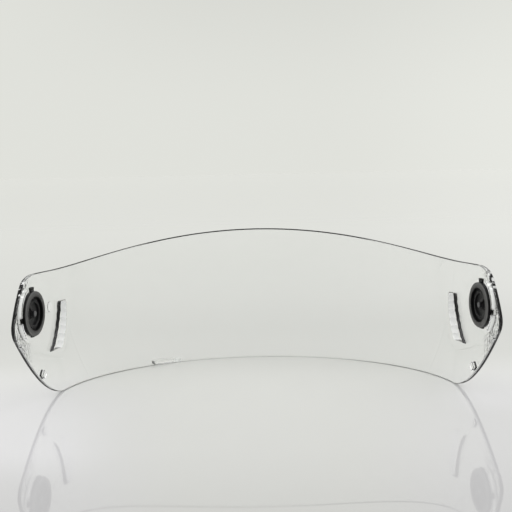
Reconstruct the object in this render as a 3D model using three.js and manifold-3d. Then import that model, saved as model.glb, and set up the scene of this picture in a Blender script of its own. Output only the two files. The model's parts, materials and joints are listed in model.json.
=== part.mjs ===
// Helmet visor, off its helmet: a clear shell with a pivot disc in each of its two end plates.
// Millimetres and degrees. +X is the rider's right, +Y is forward and +Z is up.
import * as THREE from 'three';
import { mergeVertices } from 'three/addons/utils/BufferGeometryUtils.js';
import Module from 'manifold-3d';

const wasm = await Module();
wasm.setup();

// Shell
const pivotSpan = 245.2; // between the inner faces of the end plates, on the pivot line
const pivotHeight = 51.5; // pivot line above the bottom edge
const frontReach = 133.2; // pivot line to the inside of the bottom edge at the front
const frontHeight = 90; // height over which the front leans and bows
const frontLean = 25.2; // degrees that the front leans back
const frontBow = 5.5; // bulge of the front from a straight leaning line
const plateToeIn = 12.8; // degrees that each end plate turns in towards the front
const wall = 2.2; // level thickness of the shell

// Side outline of the shell, measured forward of the pivot line and up from the bottom edge
const plateTop = 72.6; // level top edge over the end plates
const topSweepStart = 22; // where the top edge starts to sweep up
const topSweepRadius = 150;
const topCornerStart = 6; // top rear corner: where its round starts, its control point and its end
const topCornerY = -3.4;
const topCornerEndY = -7.4;
const topCornerEndZ = 68.4;
const rearBulgeY = -13.6; // the rear edge bulges a little round the disc
const rearBulgeZ = 59.4;
const rearEndY = -18;
const rearEndZ = 49.6;
const rearCornerY = -20.4; // rearmost corner
const rearCornerZ = 44.6;
const slopeStartY = -15.9; // the long slope from the rearmost corner down to the bottom edge
const slopeStartZ = 38.4;
const slopeControlY = 17;
const bottomStart = 43; // where the bottom edge meets the table

// Guard rib round the rear of the disc, in two lengths, and a small hook below it
const ribRadius = 14.8; // inside, clear of the disc's lugs
const ribWidth = 1.5;
const ribHeight = 2.2;
const ribs = [
  { start: 122, end: 182 }, // degrees
  { start: 193, end: 232 },
];
const hookLength = 7;
const hookWidth = 2.1;
const hookHeight = 1.2;
const hookTurn = -33; // degrees
const hookForward = -12.4;
const hookLevel = 34.6;

// Detent slot in each end plate, measured from the pivot along the plate and up
const slotNearRadius = 34.2; // the near wall runs round the pivot
const slotTopAngle = 3.4; // degrees
const slotBottomAngle = -47; // degrees
const slotTopWidth = 5.3; // from the near wall forward to the far one
const slotBottomWidth = 13.1;
const slotNotches = 6;
const slotToothHeight = 0.7; // on the far wall
const slotNearToothHeight = 0.4;
const slotLipWidth = 2.4;
const slotLipHeight = 1.5;

// Small moulded forms on the end plates
const pegSize = 4;
const pegHeight = 2.2;
const pegForward = 10;
const pegLevel = 16;
const pegTurn = -40; // degrees, along the slope below it
const gateRadius = 3.15; // round gate mark, on the left plate only
const gateHeight = 0.35;
const gateForward = 23.8;
const gateLevel = 51.9;

// Lifting tab on the outside of the bottom edge, left of the middle
const tabPlaceShare = 0.596; // of the way from the left plate round to the middle of the front
const tabLength = 20;
const tabReach = 5.6;
const tabRoot = 1.5; // how deep the tab goes into the shell
const tabThickness = 1.9;
const tabBottom = 0.5;
const tabCorner = 3.2;
const tabBevel = 0.4;

// Pivot disc, measured along its axis from the plate's inner face
const seatGap = 0.15; // between faces that bear on each other
const fitGap = 0.15; // round a shaft or a ring
const ringRadius = 12.3;
const ringBore = 9.3;
const ringHeight = 2.7; // face of the disc above the plate's inner face
const ringChamfer = 0.35;
const grooveDepth = 1.8;
const neckRadius = 9;
const neckWall = 1;
const neckFloor = 1.1;
const lugHeight = 0.9;
const lugWidth = 5;
const lugReach = 14.5; // up and to the rear
const lugShortReach = 13; // down and to the front
const lugs = [
  { turn: 0, reach: lugShortReach },
  { turn: 90, reach: lugReach },
  { turn: 190, reach: lugReach },
  { turn: 270, reach: lugShortReach },
];
const counterboreDepth = 1.3; // holds the washer and the retainer, on the shell's outer side
const washerThickness = 0.3;
const retainerWidth = 1.7;
const retainerChamfer = 0.2;
const springWidth = 2.3;
const springThickness = 0.2;
const springWave = 0.1; // rise of each wave above and below the middle
const springWaves = 3;
const thrustThickness = 0.25;
const thrustBore = 2.6;
const coreWall = 1.65;
const coreSetBack = 1.1; // core's face below the disc's face
const coreFloor = 0.5;
const coreChamfer = 0.2;
const bossRadius = 2.6;
const bossSetBack = 0.5; // boss below the core's face
const webWidth = 1.7;
const webSetBack = 0.2; // web below the core's face
const webTurn = 132; // degrees, up and to the rear
const keyWidth = 1.2;
const keyLength = 2.6;
const keyTurn = 212; // degrees
const pinHeadRadius = 1.55;
const pinHeadSetBack = 0.1; // tip of the pin below the disc's face
const pinTipChamfer = 0.25;
const pinRadius = 1.1;
const pinGroove = 0.3; // depth of the clip's groove
const pinLip = 0.2; // end of the pin beyond the groove
const clipWidth = 1.5;
const clipThickness = 0.3;
const clipOpening = 64; // degrees
const clipPocket = 0.75; // depth of the pocket in the neck's floor
const clipPocketRadius = 3.2;

// Faceting
const frontSteps = 26; // in each half
const levelSteps = 8;
const curveSteps = 8;
const sweepSteps = 18;
const discSteps = 36;
const smallSteps = 20;
const notchSteps = 4;
const springSteps = 36;
const overrun = 3; // how far a cutter runs past what it cuts

const { degToRad } = THREE.MathUtils;
const toe = degToRad(plateToeIn);
const endAngle = Math.PI / 2 - toe; // that each half of the front turns through
const pull = 4 / 3 * Math.tan(endAngle / 4) / Math.tan(endAngle / 2); // handles of a curve like an arc

// Stack of the pivot disc along its axis, plus is outwards
const discFace = -ringHeight;
const grooveFloor = discFace + grooveDepth;
const neckEnd = wall; // flush with the shell's outer face
const washerStart = wall - counterboreDepth + seatGap;
const retainerStart = washerStart + washerThickness + seatGap;
const cupFloor = neckEnd - neckFloor;
const springMiddle = cupFloor - seatGap - springWave - springThickness / 2;
const thrustEnd = springMiddle - springWave - springThickness / 2 - seatGap;
const coreEnd = thrustEnd - thrustThickness - seatGap;
const coreFace = discFace + coreSetBack;
const coreFloorFace = coreEnd - coreFloor;
const bossFace = coreFace + bossSetBack;
const webFace = coreFace + webSetBack;
const cupBore = neckRadius - neckWall;
const coreRadius = cupBore - fitGap;
const coreBore = coreRadius - coreWall;
const pinBore = pinRadius + fitGap;
const retainerBore = neckRadius + fitGap;
const retainerRadius = retainerBore + retainerWidth;
const pocketFloor = neckEnd - clipPocket;

// A closed geometry as a solid that can be joined and cut
function solid(geometry) {
  const bare = geometry.clone();
  bare.deleteAttribute('normal');
  bare.deleteAttribute('uv');
  const welded = mergeVertices(bare);
  return new wasm.Manifold(new wasm.Mesh({
    numProp: 3,
    vertProperties: new Float32Array(welded.attributes.position.array),
    triVerts: new Uint32Array(welded.index.array),
  }));
}

// The solid's surface as a geometry
function geometryOf(body) {
  const mesh = body.getMesh();
  const geometry = new THREE.BufferGeometry();
  geometry.setAttribute('position', new THREE.BufferAttribute(mesh.vertProperties, 3));
  geometry.setIndex(new THREE.BufferAttribute(mesh.triVerts, 1));
  return geometry;
}

// A skin over closed rings of points, each with as many points as the next. The last ring joins the
// first, or each end has a cap.
function skinOf(rings, cap = null) {
  const count = rings[0].length;
  const positions = rings.flat(2);
  const faces = [];
  const quad = (a, b, c, d) => faces.push(a, b, c, a, c, d);
  const last = cap ? rings.length - 1 : rings.length;
  for (let i = 0; i < last; i++) {
    const here = i * count;
    const next = ((i + 1) % rings.length) * count;
    for (let j = 0; j < count; j++) {
      const k = (j + 1) % count;
      quad(here + j, here + k, next + k, next + j);
    }
  }
  if (cap) {
    cap(quad, 0, last * count);
  }
  const geometry = new THREE.BufferGeometry();
  geometry.setAttribute('position', new THREE.Float32BufferAttribute(positions, 3));
  geometry.setIndex(faces);
  return geometry;
}

// Half of the shell's level section, from the end of the right plate's flat to the middle of the
// front. It follows an arc that is tangent to both plates, and flattens a little near the top, where
// the plate has to stay flat round its disc.
function halfSection(z) {
  const share = z / frontHeight;
  const bow = frontBow * 4 * share * (1 - share);
  const front = frontReach - Math.tan(degToRad(frontLean)) * z + bow;
  const radius = (pivotSpan / 2 * Math.cos(toe) - front * Math.sin(toe)) / (1 - Math.sin(toe));
  const arcStart = (front - radius * (1 - Math.sin(toe))) / Math.cos(toe);
  const flat = Math.max(arcStart, ringRadius);
  const start = new THREE.Vector2(pivotSpan / 2 - flat * Math.sin(toe), flat * Math.cos(toe));
  const alongPlate = (front - start.y) / Math.cos(toe);
  const acrossFront = start.x - alongPlate * Math.sin(toe);
  return new THREE.CubicBezierCurve(
    start,
    start.clone().add(new THREE.Vector2(-Math.sin(toe), Math.cos(toe)).multiplyScalar(pull * alongPlate)),
    new THREE.Vector2(pull * acrossFront, front),
    new THREE.Vector2(0, front),
  );
}

// A point of the half section moved outwards, and the direction that is outwards there
function sectionPoint(curve, share, offset) {
  const tangent = curve.getTangent(share);
  const outward = new THREE.Vector2(tangent.y, -tangent.x);
  return { point: curve.getPoint(share).addScaledVector(outward, offset), outward };
}

// Points of the level section at height z, from the left rear end round to the right rear end
function sectionLine(z, offset) {
  const curve = halfSection(z);
  const reach = overrun - rearCornerY;
  const rear = new THREE.Vector2(
    pivotSpan / 2 + reach * Math.sin(toe) + offset * Math.cos(toe),
    -reach * Math.cos(toe) + offset * Math.sin(toe),
  );
  const half = [rear];
  for (let i = 0; i <= frontSteps; i++) {
    half.push(sectionPoint(curve, i / frontSteps, offset).point);
  }
  const right = half.map(({ x, y }) => [x, y, z]);
  const left = half.slice(0, -1).map(({ x, y }) => [-x, y, z]);
  return [...left, ...right.reverse()];
}

// Untrimmed shell between two offsets from the inner face, plus is outwards
function shellBetween(inner, outer) {
  const rings = [];
  const low = -overrun;
  const high = frontHeight + overrun;
  for (let i = 0; i <= levelSteps; i++) {
    const z = low + (high - low) * i / levelSteps;
    rings.push([...sectionLine(z, inner), ...sectionLine(z, outer).reverse()]);
  }
  const count = rings[0].length;
  const cap = (quad, bottom, top) => {
    for (let j = 0; j < count / 2 - 1; j++) {
      const inside = count - 1 - j;
      quad(bottom + j, bottom + inside, bottom + inside - 1, bottom + j + 1);
      quad(top + j, top + j + 1, top + inside - 1, top + inside);
    }
  };
  return solid(skinOf(rings, cap));
}

// Side outline of the shell, in the plane of Y and Z
function sideOutline() {
  const frontLimit = frontReach + wall + overrun;
  const sweepAngle = Math.asin((frontLimit - topSweepStart) / topSweepRadius);
  const shape = new THREE.Shape();
  shape.moveTo(bottomStart, 0);
  shape.lineTo(frontLimit, 0);
  for (let i = sweepSteps; i >= 0; i--) {
    const angle = sweepAngle * i / sweepSteps;
    shape.lineTo(
      topSweepStart + topSweepRadius * Math.sin(angle),
      plateTop + topSweepRadius * (1 - Math.cos(angle)),
    );
  }
  shape.lineTo(topCornerStart, plateTop);
  shape.quadraticCurveTo(topCornerY, plateTop, topCornerEndY, topCornerEndZ);
  shape.quadraticCurveTo(rearBulgeY, rearBulgeZ, rearEndY, rearEndZ);
  shape.quadraticCurveTo(rearCornerY, rearCornerZ, slopeStartY, slopeStartZ);
  shape.quadraticCurveTo(slopeControlY, 0, bottomStart, 0);
  return shape;
}

// A side outline run across the whole width
function acrossWidth(shape) {
  const half = pivotSpan / 2 + pivotSpan / 4;
  const geometry = new THREE.ExtrudeGeometry(shape, {
    depth: 2 * half,
    bevelEnabled: false,
    curveSegments: curveSteps,
  });
  geometry.translate(0, 0, -half);
  const forward = new THREE.Vector3(0, 1, 0);
  const up = new THREE.Vector3(0, 0, 1);
  const right = new THREE.Vector3(1, 0, 0);
  geometry.applyMatrix4(new THREE.Matrix4().makeBasis(forward, up, right));
  return geometry;
}

// Frame of one end plate: X forward along it, Y up, and Z out on the right, in on the left
function plateMatrix(side) {
  const forward = new THREE.Vector3(-side * Math.sin(toe), Math.cos(toe), 0);
  const up = new THREE.Vector3(0, 0, 1);
  const across = new THREE.Vector3(Math.cos(toe), side * Math.sin(toe), 0);
  const matrix = new THREE.Matrix4().makeBasis(forward, up, across);
  return matrix.setPosition(side * pivotSpan / 2, 0, pivotHeight);
}

// The left plate's forms are mirror images of the right plate's
function handed(geometry, side) {
  if (side > 0) {
    return geometry;
  }
  const mirrored = geometry.index ? geometry.toNonIndexed() : geometry.clone();
  mirrored.deleteAttribute('normal');
  mirrored.deleteAttribute('uv');
  const corner = mirrored.attributes.position;
  for (let i = 0; i < corner.count; i += 3) {
    const second = new THREE.Vector3().fromBufferAttribute(corner, i + 1);
    const third = new THREE.Vector3().fromBufferAttribute(corner, i + 2);
    corner.setXYZ(i, corner.getX(i), corner.getY(i), -corner.getZ(i));
    corner.setXYZ(i + 1, third.x, third.y, -third.z);
    corner.setXYZ(i + 2, second.x, second.y, -second.z);
  }
  return mirrored;
}

// A prism through an end plate, square to it, as a solid in the shell's frame
function throughPlate(shape, side) {
  const depth = 2 * (wall + ribHeight + ringHeight + overrun);
  const geometry = new THREE.ExtrudeGeometry(shape, {
    depth,
    bevelEnabled: false,
    curveSegments: curveSteps,
  });
  geometry.translate(0, 0, -depth / 2);
  return solid(handed(geometry, side).applyMatrix4(plateMatrix(side)));
}

// Outline of the detent slot, grown all round by a width. Both walls have a notch for each stop.
function slotOutline(grow) {
  const spread = 2 * grow / slotNearRadius;
  const startAngle = degToRad(slotBottomAngle) - spread;
  const endOfSlot = degToRad(slotTopAngle) + spread;
  const count = slotNotches * notchSteps;
  const near = [];
  const far = [];
  for (let i = 0; i <= count; i++) {
    const share = i / count;
    const angle = startAngle + (endOfSlot - startAngle) * share;
    const tooth = grow === 0 ? 1 - Math.abs(Math.sin(Math.PI * slotNotches * share)) : 0;
    const width = slotBottomWidth + (slotTopWidth - slotBottomWidth) * share;
    const way = new THREE.Vector2(Math.cos(angle), Math.sin(angle));
    near.push(way.clone().multiplyScalar(slotNearRadius - grow + slotNearToothHeight * tooth));
    way.multiplyScalar(slotNearRadius);
    far.push(way.add(new THREE.Vector2(width + grow - slotToothHeight * tooth, 0)));
  }
  return new THREE.Shape([...far, ...near.reverse()]);
}

function circleOutline(radius, x = 0, y = 0) {
  return new THREE.Shape().absarc(x, y, radius, 0, 2 * Math.PI, false);
}

// A bar centred on a point and turned about it
function barOutline(length, width, x, y, turn) {
  const along = new THREE.Vector2(length / 2, 0).rotateAround(new THREE.Vector2(), degToRad(turn));
  const side = new THREE.Vector2(0, width / 2).rotateAround(new THREE.Vector2(), degToRad(turn));
  const shape = new THREE.Shape();
  shape.moveTo(x - along.x - side.x, y - along.y - side.y);
  shape.lineTo(x + along.x - side.x, y + along.y - side.y);
  shape.lineTo(x + along.x + side.x, y + along.y + side.y);
  shape.lineTo(x - along.x + side.x, y - along.y + side.y);
  return shape;
}

// One length of the guard rib
function ribOutline({ start, end }) {
  const shape = new THREE.Shape();
  shape.absarc(0, 0, ribRadius + ribWidth, degToRad(start), degToRad(end), false);
  shape.absarc(0, 0, ribRadius, degToRad(end), degToRad(start), true);
  return shape;
}

// The lifting tab: a level ledge with round corners, let into the outer face
function liftingTab() {
  const { point, outward } = sectionPoint(halfSection(tabBottom), tabPlaceShare, wall);
  const half = tabLength / 2 - tabBevel;
  const tip = tabReach - tabBevel;
  const shape = new THREE.Shape();
  shape.moveTo(-half, -tabRoot);
  shape.lineTo(half, -tabRoot);
  shape.lineTo(half, tip - tabCorner);
  shape.quadraticCurveTo(half, tip, half - tabCorner, tip);
  shape.lineTo(tabCorner - half, tip);
  shape.quadraticCurveTo(-half, tip, -half, tip - tabCorner);
  const geometry = new THREE.ExtrudeGeometry(shape, {
    depth: tabThickness - 2 * tabBevel,
    bevelThickness: tabBevel,
    bevelSize: tabBevel,
    bevelSegments: 2,
    curveSegments: curveSteps,
  });
  const along = new THREE.Vector3(outward.y, outward.x, 0);
  const across = new THREE.Vector3(-outward.x, outward.y, 0);
  const up = new THREE.Vector3(0, 0, 1);
  const place = new THREE.Matrix4().makeBasis(along, across, up);
  place.setPosition(-point.x, point.y, tabBottom + tabBevel);
  return solid(geometry.applyMatrix4(place));
}

// A round cut into an end plate between two places along the disc's axis
function roundCut(radius, start, end, side) {
  const geometry = alongAxis(circleOutline(radius), start, end, discSteps);
  return solid(handed(geometry, side).applyMatrix4(plateMatrix(side)));
}

// The shell with its raised forms, slots and pivot bores. The last two cuts are the counterbore for
// the retainer and a flat seat that keeps the disc and its lugs clear as they turn.
function makeShield() {
  const trim = solid(acrossWidth(sideOutline()));
  let shield = shellBetween(0, wall).intersect(trim);
  const raised = (shape, height, side) => (
    throughPlate(shape, side).intersect(shellBetween(-height, wall / 2)).intersect(trim)
  );
  for (const side of [1, -1]) {
    const peg = barOutline(pegSize, pegSize, pegForward, pegLevel - pivotHeight, pegTurn);
    const hook = barOutline(hookLength, hookWidth, hookForward, hookLevel - pivotHeight, hookTurn);
    for (const rib of ribs) {
      shield = shield.add(raised(ribOutline(rib), ribHeight, side));
    }
    shield = shield
      .add(raised(hook, hookHeight, side))
      .add(raised(peg, pegHeight, side))
      .add(raised(slotOutline(slotLipWidth), slotLipHeight, side))
      .subtract(throughPlate(slotOutline(0), side))
      .subtract(roundCut(retainerBore, -overrun, wall + overrun, side))
      .subtract(roundCut(retainerRadius + fitGap, wall - counterboreDepth, wall + overrun, side))
      .subtract(roundCut(lugReach + fitGap, -ringHeight - overrun, -seatGap / 2, side));
  }
  const gate = circleOutline(gateRadius, gateForward, gateLevel - pivotHeight);
  return shield.add(raised(gate, gateHeight, -1)).add(liftingTab());
}

// A closed profile of radius and place along the axis, turned round the axis
function turned(profile, steps) {
  const points = profile.map(([radius, place]) => new THREE.Vector2(radius, place));
  if (profile[0][0] > 0) {
    points.push(points[0].clone());
  }
  return new THREE.LatheGeometry(points, steps).rotateX(Math.PI / 2);
}

// A flat ring, with its edges cut at its outer corner on the outer face
function flatRing(bore, radius, start, end, steps, chamfer = 0) {
  const profile = [[bore, start], [radius, start]];
  if (chamfer > 0) {
    profile.push([radius, end - chamfer], [radius - chamfer, end]);
  } else {
    profile.push([radius, end]);
  }
  profile.push([bore, end]);
  return turned(profile, steps);
}

// An outline run along the axis between two places
function alongAxis(shape, start, end, steps = curveSteps) {
  const geometry = new THREE.ExtrudeGeometry(shape, {
    depth: end - start,
    bevelEnabled: false,
    curveSegments: steps,
  });
  return geometry.translate(0, 0, start);
}

// One lug: a short piece of a ring, as wide as its name says at its tip
function lugOutline({ turn, reach }) {
  const root = (neckRadius + ringRadius) / 2;
  const half = Math.asin(lugWidth / 2 / reach);
  const middle = degToRad(turn);
  const shape = new THREE.Shape();
  shape.absarc(0, 0, reach, middle - half, middle + half, false);
  shape.absarc(0, 0, root, middle + half, middle - half, true);
  return shape;
}

// The housing: a ring and a neck in one, with a cup inside and a pocket for the clip in its floor
function makeHousing() {
  const base = -seatGap;
  const body = turned([
    [pinBore, cupFloor],
    [cupBore, cupFloor],
    [cupBore, grooveFloor],
    [ringBore, grooveFloor],
    [ringBore, discFace + ringChamfer],
    [ringBore + ringChamfer, discFace],
    [ringRadius - ringChamfer, discFace],
    [ringRadius, discFace + ringChamfer],
    [ringRadius, base],
    [neckRadius, base],
    [neckRadius, neckEnd],
    [clipPocketRadius, neckEnd],
    [clipPocketRadius, pocketFloor],
    [pinBore, pocketFloor],
  ], discSteps);
  let housing = solid(body);
  for (const lug of lugs) {
    housing = housing.add(solid(alongAxis(lugOutline(lug), base - lugHeight, base)));
  }
  return geometryOf(housing);
}

// The lock core: a shallow cup with a boss, one slanting web and a key slot in its floor
function makeCore() {
  const cup = turned([
    [pinBore, bossFace],
    [bossRadius, bossFace],
    [bossRadius, coreFloorFace],
    [coreBore, coreFloorFace],
    [coreBore, coreFace + coreChamfer],
    [coreBore + coreChamfer, coreFace],
    [coreRadius - coreChamfer, coreFace],
    [coreRadius, coreFace + coreChamfer],
    [coreRadius, coreEnd],
    [pinBore, coreEnd],
  ], discSteps);
  const webMiddle = (coreBore + bossRadius) / 2;
  const webStart = bossRadius - (bossRadius - pinBore) / 2;
  const webEnd = coreBore + coreWall / 2;
  const place = (radius, turn) => [
    radius * Math.cos(degToRad(turn)),
    radius * Math.sin(degToRad(turn)),
  ];
  const web = barOutline(webEnd - webStart, webWidth, ...place((webStart + webEnd) / 2, webTurn), webTurn);
  const key = barOutline(keyLength, keyWidth, ...place(webMiddle, keyTurn), keyTurn);
  return geometryOf(
    solid(cup)
      .add(solid(alongAxis(web, webFace, coreEnd - coreFloor / 2)))
      .subtract(solid(alongAxis(key, coreFloorFace - overrun, coreEnd + overrun))),
  );
}

// The centre pin: a round head with a softened tip, a shaft and a groove for the clip
function makePin() {
  const tip = discFace + pinHeadSetBack;
  const headEnd = bossFace - seatGap;
  const grooveStart = pocketFloor + seatGap / 2;
  const grooveEnd = grooveStart + clipThickness + seatGap;
  const grooveRadius = pinRadius - pinGroove;
  return turned([
    [0, tip],
    [pinHeadRadius - pinTipChamfer, tip],
    [pinHeadRadius, tip + pinTipChamfer],
    [pinHeadRadius, headEnd],
    [pinRadius, headEnd],
    [pinRadius, grooveStart],
    [grooveRadius, grooveStart],
    [grooveRadius, grooveEnd],
    [pinRadius, grooveEnd],
    [pinRadius, grooveEnd + pinLip],
    [0, grooveEnd + pinLip],
  ], smallSteps);
}

// The wave spring: a flat ring whose middle rises and falls a whole number of times
function makeSpring() {
  const outer = coreRadius - fitGap;
  const rings = [];
  for (let i = 0; i < springSteps; i++) {
    const angle = 2 * Math.PI * i / springSteps;
    const middle = springMiddle + springWave * Math.cos(springWaves * angle);
    const corner = (radius, place) => [radius * Math.cos(angle), radius * Math.sin(angle), place];
    rings.push([
      corner(outer - springWidth, middle - springThickness / 2),
      corner(outer - springWidth, middle + springThickness / 2),
      corner(outer, middle + springThickness / 2),
      corner(outer, middle - springThickness / 2),
    ]);
  }
  return skinOf(rings);
}

// The clip: an open ring that sits in the pin's groove
function makeClip() {
  const inner = pinRadius - pinGroove + fitGap / 2;
  const outer = inner + clipWidth;
  const half = degToRad(clipOpening / 2);
  const shape = new THREE.Shape();
  shape.absarc(0, 0, outer, half, 2 * Math.PI - half, false);
  shape.absarc(0, 0, inner, 2 * Math.PI - half, half, true);
  const start = pocketFloor + seatGap;
  return alongAxis(shape, start, start + clipThickness, smallSteps);
}

// Finishes, with the colours that the photograph shows
const clear = { color: 0xdfe4e2, roughness: 0.04, metalness: 0, transparent: true, opacity: 0.35 };
const satinBlack = { color: 0x2b2b2d, roughness: 0.45, metalness: 0 };
const coreBlack = { color: 0x1d1d1f, roughness: 0.5, metalness: 0 };
const slipGrey = { color: 0x6b6b68, roughness: 0.6, metalness: 0 };
const springSteel = { color: 0xa9abad, roughness: 0.3, metalness: 1 };
const pinSteel = { color: 0x6f7072, roughness: 0.35, metalness: 1 };

const visor = new THREE.Group();
const shieldMesh = new THREE.Mesh(geometryOf(makeShield()), new THREE.MeshStandardMaterial(clear));
shieldMesh.name = 'shield';
visor.add(shieldMesh);

const pieces = [
  ['hub_housing', makeHousing, satinBlack],
  ['wear_washer', () => flatRing(
    retainerBore, retainerRadius, washerStart, washerStart + washerThickness, discSteps,
  ), slipGrey],
  ['outer_retainer', () => flatRing(
    retainerBore, retainerRadius, retainerStart, neckEnd, discSteps, retainerChamfer,
  ), satinBlack],
  ['wave_spring', makeSpring, springSteel],
  ['thrust_washer', () => flatRing(
    thrustBore, coreRadius - fitGap, thrustEnd - thrustThickness, thrustEnd, discSteps,
  ), springSteel],
  ['lock_core', makeCore, coreBlack],
  ['centre_pin', makePin, pinSteel],
  ['retaining_clip', makeClip, springSteel],
];
for (const [sideName, side] of [['right', 1], ['left', -1]]) {
  const plate = new THREE.Group();
  plateMatrix(side).decompose(plate.position, plate.quaternion, plate.scale);
  for (const [name, make, finish] of pieces) {
    const mesh = new THREE.Mesh(handed(make(), side), new THREE.MeshStandardMaterial(finish));
    mesh.name = `${sideName}_${name}`;
    plate.add(mesh);
  }
  visor.add(plate);
}

// The origin is under the middle of the visor, on the surface that it stands on
const box = new THREE.Box3().setFromObject(visor, true);
visor.position.y = -(box.min.y + box.max.y) / 2;

export default visor;
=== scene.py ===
import json
import math

import bmesh
import bpy
import numpy as np
from mathutils import Matrix


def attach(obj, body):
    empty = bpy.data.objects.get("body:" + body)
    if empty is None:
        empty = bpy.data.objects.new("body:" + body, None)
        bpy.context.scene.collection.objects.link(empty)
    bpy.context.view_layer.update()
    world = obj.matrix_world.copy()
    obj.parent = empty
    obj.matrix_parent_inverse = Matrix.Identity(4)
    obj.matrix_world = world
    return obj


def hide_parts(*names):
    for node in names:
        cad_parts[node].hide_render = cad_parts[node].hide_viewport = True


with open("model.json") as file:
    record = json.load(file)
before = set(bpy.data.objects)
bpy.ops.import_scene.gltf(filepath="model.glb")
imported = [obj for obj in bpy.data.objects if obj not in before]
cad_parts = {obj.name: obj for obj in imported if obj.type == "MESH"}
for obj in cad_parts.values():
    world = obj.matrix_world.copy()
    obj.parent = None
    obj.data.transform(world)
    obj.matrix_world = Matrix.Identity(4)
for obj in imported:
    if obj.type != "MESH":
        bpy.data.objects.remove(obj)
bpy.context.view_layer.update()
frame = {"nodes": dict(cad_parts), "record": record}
print("frame loaded with", len(frame["nodes"]), "solids")

# The clear shell. Places are measured forward of the pivot line and up from the bottom edge.
shell = dict(
    pivotSpan=0.2452, pivotHeight=0.0515, frontReach=0.1332, frontHeight=0.090,
    frontLean=25.2, frontBow=0.0055, toeIn=12.8, wall=0.0022, edgeRound=0.0005,
    plateTop=0.0726, sweepStart=0.022, sweepRadius=0.150, pastFront=0.02,
    topCorner=[(0.0065, 0.0726), (-0.0045, 0.0726), (-0.0085, 0.0682)],
    rearBulge=[(-0.0085, 0.0682), (-0.0147, 0.0602), (-0.0190, 0.0496)],
    rearCorner=[(-0.0190, 0.0496), (-0.0213, 0.0432), (-0.0172, 0.0384)],
    slope=[(-0.0172, 0.0384), (0.0157, 0.0), (0.0424, 0.0)],
    uprightTo=0.004, rearGap=0.00002, firstStation=0.02, creaseAngle=30.0,
    plateStations=40, frontStations=190, rows=44, roundSteps=4, rimSteps=4,
    outlineSteps=300, cornerSteps=400, fitRounds=40,
)

toe = math.radians(shell["toeIn"])
endAngle = math.pi / 2 - toe
pivotY = frame["record"]["behaviour"]["joints"][0]["pos_m"][1]
almostHalf = 0.49  # a round takes up to this share of the edge it eases
mergeDistance = 1e-7  # points of one mesh that are closer than this become one


def makeMesh(name, verts, faces):
    # a new object at the origin, with its place in its mesh
    mesh = bpy.data.meshes.new(name)
    mesh.from_pydata(np.asarray(verts).reshape(-1, 3).tolist(), [], [list(map(int, f)) for f in faces])
    mesh.validate()
    mesh.update()
    obj = bpy.data.objects.new(name, mesh)
    bpy.context.scene.collection.objects.link(obj)
    return obj


def shadeSmooth(mesh, creaseAngle):
    # smooth everywhere but over edges that bend by more than the angle
    mesh.polygons.foreach_set("use_smooth", np.ones(len(mesh.polygons), dtype=bool))
    mesh.set_sharp_from_angle(angle=math.radians(creaseAngle))


def gridFaces(rows, cols, closeRows=False, closeCols=True):
    # quads between neighbours of a rows x cols grid of points, wrapped where asked
    i = np.arange(rows if closeRows else rows - 1)[:, None]
    j = np.arange(cols if closeCols else cols - 1)[None, :]
    a = i * cols + j
    b = i * cols + (j + 1) % cols
    c = ((i + 1) % rows) * cols + (j + 1) % cols
    d = ((i + 1) % rows) * cols + j
    return np.stack([a, b, c, d], axis=-1).reshape(-1, 4)


def cappedMesh(name, grid):
    # a tube through equal loops, with a flat cap on its first and its last one
    rows, cols = grid.shape[:2]
    faces = gridFaces(rows, cols).tolist()
    faces.append(list(range(cols))[::-1])
    faces.append(list(range((rows - 1) * cols, rows * cols)))
    return makeMesh(name, grid, faces)


def bezier(points, steps=60):
    # quadratic curve through its two ends: (1-t)^2 a + 2t(1-t) b + t^2 c
    a, b, c = (np.array(p) for p in points)
    t = np.linspace(0, 1, steps)[:, None]
    return (1 - t) ** 2 * a + 2 * t * (1 - t) * b + t ** 2 * c


def sectionAt(z):
    # level section: one arc tangent to both plates, of radius (half the span * cos toe - front * sin toe)
    # / (1 - sin toe); its front leans back, and bows by 4 s (1 - s) over the height
    share = z / shell["frontHeight"]
    bow = shell["frontBow"] * 4 * share * (1 - share)
    front = shell["frontReach"] - math.tan(math.radians(shell["frontLean"])) * z + bow
    radius = (shell["pivotSpan"] / 2 * math.cos(toe) - front * math.sin(toe)) / (1 - math.sin(toe))
    centre = front - radius
    tangent = (centre + radius * math.sin(toe)) / math.cos(toe)
    return radius, centre, tangent


def shellPoint(along, z, out):
    # along runs on the right plate from the pivot line, then round the arc; out is the level offset
    radius, centre, tangent = sectionAt(z)
    angle = endAngle - np.maximum(along - tangent, 0) / radius
    onPlate = along < tangent
    plateX = shell["pivotSpan"] / 2 - along * math.sin(toe) + out * math.cos(toe)
    plateY = along * math.cos(toe) + out * math.sin(toe)
    x = np.where(onPlate, plateX, (radius + out) * np.sin(angle))
    y = np.where(onPlate, plateY, centre + (radius + out) * np.cos(angle))
    return np.stack([x, y + pivotY, z + 0 * x], axis=-1)


def placeOnShell(points):
    # the reverse of shellPoint for both sides: how far along, up and out each point lies
    side = np.where(points[:, 0] < 0, -1.0, 1.0)
    x, y, z = np.abs(points[:, 0]), points[:, 1] - pivotY, points[:, 2]
    radius, centre, tangent = sectionAt(z)
    beside = x - shell["pivotSpan"] / 2
    alongPlate = y * math.cos(toe) - beside * math.sin(toe)
    outPlate = beside * math.cos(toe) + y * math.sin(toe)
    angle = np.arctan2(x, y - centre)
    onArc = alongPlate > tangent
    along = np.where(onArc, tangent + (endAngle - angle) * radius, alongPlate)
    out = np.where(onArc, np.hypot(x, y - centre) - radius, outPlate)
    return side, along, z, out, angle


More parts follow.
